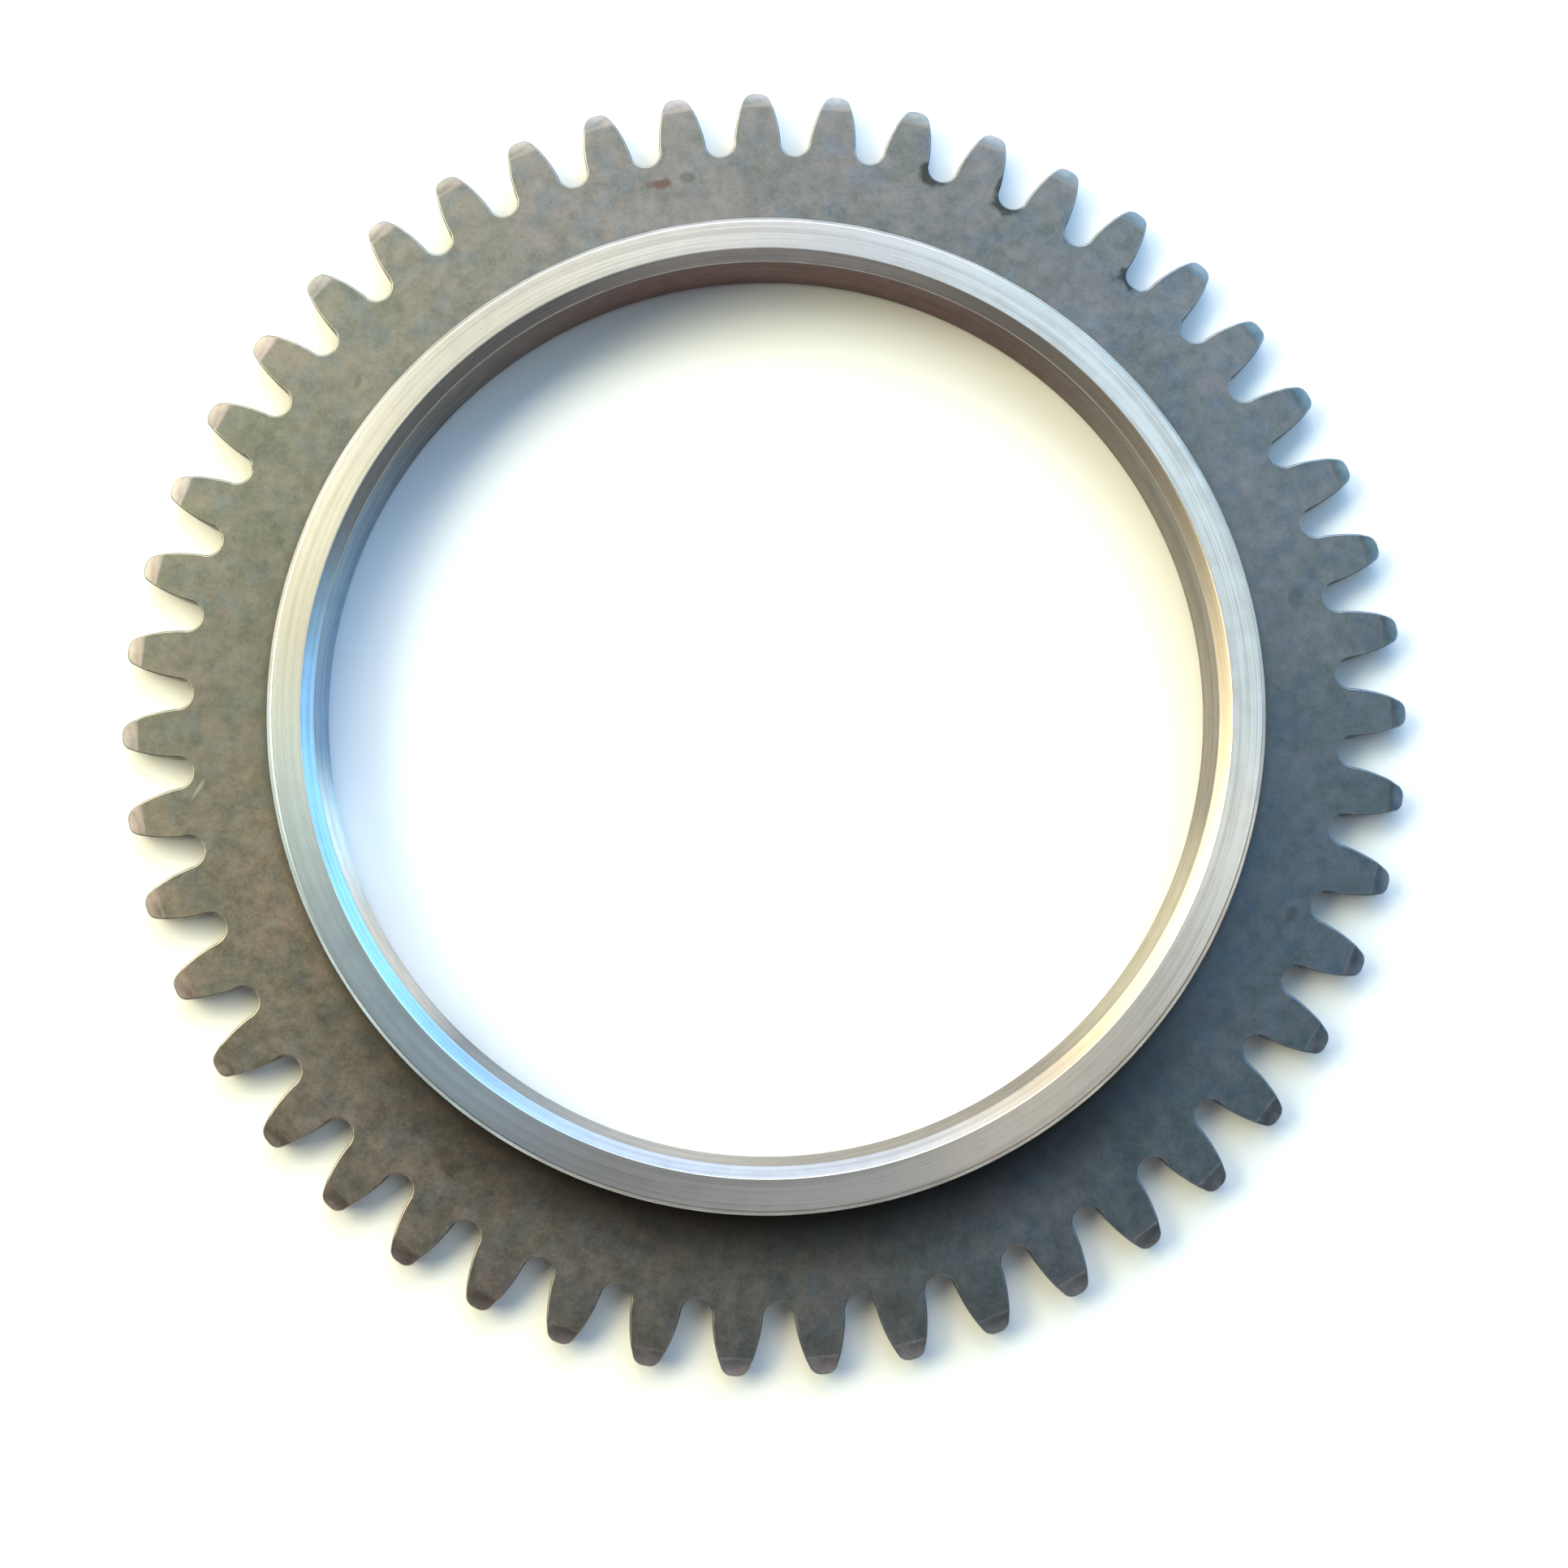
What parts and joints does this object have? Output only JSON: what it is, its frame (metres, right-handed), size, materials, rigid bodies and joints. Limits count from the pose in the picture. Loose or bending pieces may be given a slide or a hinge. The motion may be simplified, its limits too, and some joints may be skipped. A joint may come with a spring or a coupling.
{
  "type": "transmission gear",
  "caption": "Flat spur gear: a thin steel ring with round-cornered teeth, a large plain bore, and a raised collar with a bright turned face around the bore on one side.",
  "frame": {"origin": "on the axis of the bore, in the flat back face on which the gear lies", "axes": "+Z along the axis towards the raised collar; +X through the middle of one tooth"},
  "size_m": [0.1488, 0.149, 0.0113],
  "materials": {
    "steel": "dull oiled steel on the toothed ring, with a bright turned face on the collar"
  },
  "bodies": {
    "root": {"gear": "steel"}
  },
  "joints": []
}
